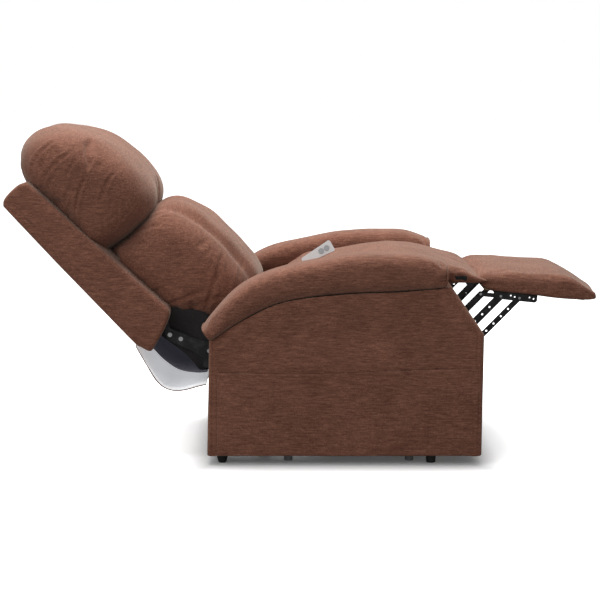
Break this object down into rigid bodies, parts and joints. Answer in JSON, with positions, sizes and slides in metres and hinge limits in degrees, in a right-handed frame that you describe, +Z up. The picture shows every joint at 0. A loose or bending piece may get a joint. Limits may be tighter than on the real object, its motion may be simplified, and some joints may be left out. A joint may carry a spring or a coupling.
{
  "type": "lift recliner chair",
  "caption": "Upholstered electric lift recliner shown reclined, with raised footrest on a black steel bar linkage, pillow back, padded arms and a lifting base frame.",
  "frame": {"origin": "on the floor in the middle plane, midway along the side panels", "axes": "+X towards the sitter's feet, +Y towards the sitter's left, +Z up"},
  "size_m": [1.8158, 0.848, 1.019],
  "materials": {
    "black_steel": "satin black powder coat",
    "bright_steel": "zinc plated",
    "spring_wire": "oiled spring wire",
    "motor_tube": "satin",
    "black_plastic": "fine moulded texture",
    "grey_plastic": "matte",
    "cable_rubber": "matte",
    "timber": "sanded hardwood and plywood",
    "chenille": "brown ribbed chenille upholstery",
    "white_plastic": "satin moulded",
    "grey_rubber": "soft touch"
  },
  "bodies": {
    "base": {"base_frame": "black_steel", "rear_feet": "black_plastic", "front_feet": "black_plastic", "mid_glides": "grey_plastic", "base_pins": "bright_steel", "power_supply": "black_plastic", "mains_cable": "cable_rubber"},
    "lift_arms": {"lift_arms": "black_steel"},
    "lift_links": {"lift_links": "black_steel"},
    "lift_motor": {"lift_motor_housing": "black_plastic", "lift_motor_tube": "motor_tube"},
    "lift_rod": {"lift_rod": "bright_steel"},
    "chassis": {"lift_frame": "black_steel", "chassis_pins": "bright_steel", "right_arm_frame": "timber", "left_arm_frame": "timber", "right_side_cover": "chenille", "left_side_cover": "chenille", "right_inner_cover": "chenille", "left_inner_cover": "chenille", "right_arm_pad": "chenille", "left_arm_pad": "chenille", "side_pocket": "chenille", "rear_apron": "chenille", "frame_bolts": "bright_steel", "handset_cable": "cable_rubber"},
    "seat": {"seat_frame": "timber", "seat_springs": "spring_wire", "seat_cushion": "chenille", "seat_side_plates": "black_steel", "seat_pins": "bright_steel"},
    "back": {"back_shell": "chenille", "back_frame": "timber", "back_springs": "spring_wire", "headrest_cushion": "chenille", "lumbar_cushion": "chenille", "back_brackets": "black_steel", "back_pins": "bright_steel", "rear_flap": "chenille"},
    "back_links": {"back_links": "black_steel"},
    "recline_motor": {"recline_motor_housing": "black_plastic", "recline_motor_tube": "motor_tube"},
    "recline_rod": {"recline_rod": "bright_steel"},
    "footrest_crank": {"footrest_cranks": "black_steel", "crank_rivets": "bright_steel"},
    "rear_bars": {"rear_foot_bars": "black_steel"},
    "main_bars": {"main_foot_bars": "black_steel"},
    "front_bars": {"front_foot_bars": "black_steel"},
    "footrest": {"footrest_brackets": "black_steel", "footrest_rivets": "bright_steel", "footrest_board": "timber", "footrest_pad": "chenille"},
    "flap": {"flap_board": "timber", "flap_pad": "chenille", "flap_brackets": "black_steel"},
    "flap_bars": {"flap_bars": "black_steel"},
    "handset": {"handset_back_shell": "white_plastic", "handset_front_shell": "white_plastic"},
    "back_key": {"back_key": "grey_rubber"},
    "lift_key": {"lift_key": "grey_rubber"}
  },
  "joints": [
    {"name": "lift", "type": "hinge", "parent": "base", "child": "lift_arms", "pos_m": [0.23, 0, 0.095], "axis": [0, 1, 0], "range_deg": [0, 50]},
    {"name": "lift_level", "type": "hinge", "parent": "lift_arms", "child": "chassis", "pos_m": [-0.12, 0, 0.14], "axis": [0, 1, 0], "range_deg": [-22.05, 0.05]},
    {"name": "lift_link_swing", "type": "hinge", "parent": "base", "child": "lift_links", "pos_m": [0.2501, 0, 0.1287], "axis": [0, 1, 0], "range_deg": [-0.05, 54.93]},
    {"name": "lift_motor_swing", "type": "hinge", "parent": "base", "child": "lift_motor", "pos_m": [-0.3114, 0, 0.0857], "axis": [0, 1, 0], "range_deg": [-0.05, 2.58]},
    {"name": "lift_rod_slide", "type": "slide", "parent": "lift_motor", "child": "lift_rod", "axis": [0.98, 0, 0.199], "range_m": [-0.0005, 0.0807]},
    {"name": "seat_tilt", "type": "hinge", "parent": "chassis", "child": "seat", "pos_m": [-0.24, 0, 0.3], "axis": [0, 1, 0], "range_deg": [-0.05, 10.05]},
    {"name": "back_recline", "type": "hinge", "parent": "seat", "child": "back", "pos_m": [-0.375, 0, 0.33], "axis": [0, 1, 0], "range_deg": [0, 25]},
    {"name": "back_link_swing", "type": "hinge", "parent": "chassis", "child": "back_links", "pos_m": [-0.1849, 0, 0.2897], "axis": [0, 1, 0], "range_deg": [-0.05, 12.34]},
    {"name": "recline_motor_swing", "type": "hinge", "parent": "seat", "child": "recline_motor", "pos_m": [0.0881, 0, 0.3095], "axis": [0, 1, 0], "range_deg": [-0.05, 1.42]},
    {"name": "recline_rod_slide", "type": "slide", "parent": "recline_motor", "child": "recline_rod", "axis": [-0.9903, 0, -0.1389], "range_m": [-0.0005, 0.0355]},
    {"name": "footrest", "type": "hinge", "parent": "seat", "child": "footrest_crank", "pos_m": [0.2746, 0, 0.3303], "axis": [0, 1, 0], "range_deg": [0, 65], "stiffness_Nm_per_rad": 1500},
    {"name": "main_bar_swing", "type": "hinge", "parent": "footrest_crank", "child": "main_bars", "pos_m": [0.34944, 0, 0.35401], "axis": [0, 1, 0], "range_deg": [-105.46, 0.05]},
    {"name": "footrest_fold", "type": "hinge", "parent": "main_bars", "child": "footrest", "pos_m": [0.49185, 0, 0.50148], "axis": [0, 1, 0], "range_deg": [-0.05, 105.46]},
    {"name": "rear_bar_swing", "type": "hinge", "parent": "footrest_crank", "child": "rear_bars", "pos_m": [0.28679, 0, 0.3606], "axis": [0, 1, 0], "range_deg": [-105.46, 0.05]},
    {"name": "front_bar_swing", "type": "hinge", "parent": "footrest_crank", "child": "front_bars", "pos_m": [0.40762, 0, 0.3479], "axis": [0, 1, 0], "range_deg": [-105.46, 0.05]},
    {"name": "flap_drop", "type": "hinge", "parent": "seat", "child": "flap", "pos_m": [0.285, 0, 0.548], "axis": [0, 1, 0], "range_deg": [-0.05, 12.35]},
    {"name": "flap_bar_swing", "type": "hinge", "parent": "flap", "child": "flap_bars", "pos_m": [0.396, 0, 0.538], "axis": [0, 1, 0], "range_deg": [-42.39, 0.05]},
    {"name": "handset_lift_out", "type": "slide", "parent": "chassis", "child": "handset", "axis": [0, 0, 1], "range_m": [0, 0.12]},
    {"name": "back_key_rock", "type": "hinge", "parent": "handset", "child": "back_key", "pos_m": [-0.06828, -0.23871, 0.64212], "axis": [-0.4848, 0.2116, 0.8486], "range_deg": [-4, 4], "stiffness_Nm_per_rad": 0.002},
    {"name": "lift_key_rock", "type": "hinge", "parent": "handset", "child": "lift_key", "pos_m": [-0.05149, -0.23645, 0.65115], "axis": [-0.4848, 0.2116, 0.8486], "range_deg": [-4, 4], "stiffness_Nm_per_rad": 0.002}
  ],
  "couplings": [
    {"joint": "lift_level", "follows": "lift", "ratio": -0.44},
    {"joint": "lift_link_swing", "follows": "lift", "ratio": 1.0976},
    {"joint": "lift_motor_swing", "follows": "lift", "ratio": 0.0506},
    {"joint": "lift_rod_slide", "follows": "lift", "m_per_rad": 0.091902},
    {"joint": "seat_tilt", "follows": "back_recline", "ratio": 0.4},
    {"joint": "back_link_swing", "follows": "back_recline", "ratio": 0.4916},
    {"joint": "recline_motor_swing", "follows": "back_recline", "ratio": 0.0548},
    {"joint": "recline_rod_slide", "follows": "back_recline", "m_per_rad": 0.080214},
    {"joint": "main_bar_swing", "follows": "footrest", "ratio": -1.6216},
    {"joint": "footrest_fold", "follows": "footrest", "ratio": 1.6216},
    {"joint": "rear_bar_swing", "follows": "footrest", "ratio": -1.6216},
    {"joint": "front_bar_swing", "follows": "footrest", "ratio": -1.6216},
    {"joint": "flap_drop", "follows": "footrest", "ratio": 0.18919},
    {"joint": "flap_bar_swing", "follows": "footrest", "ratio": -0.65135}
  ]
}
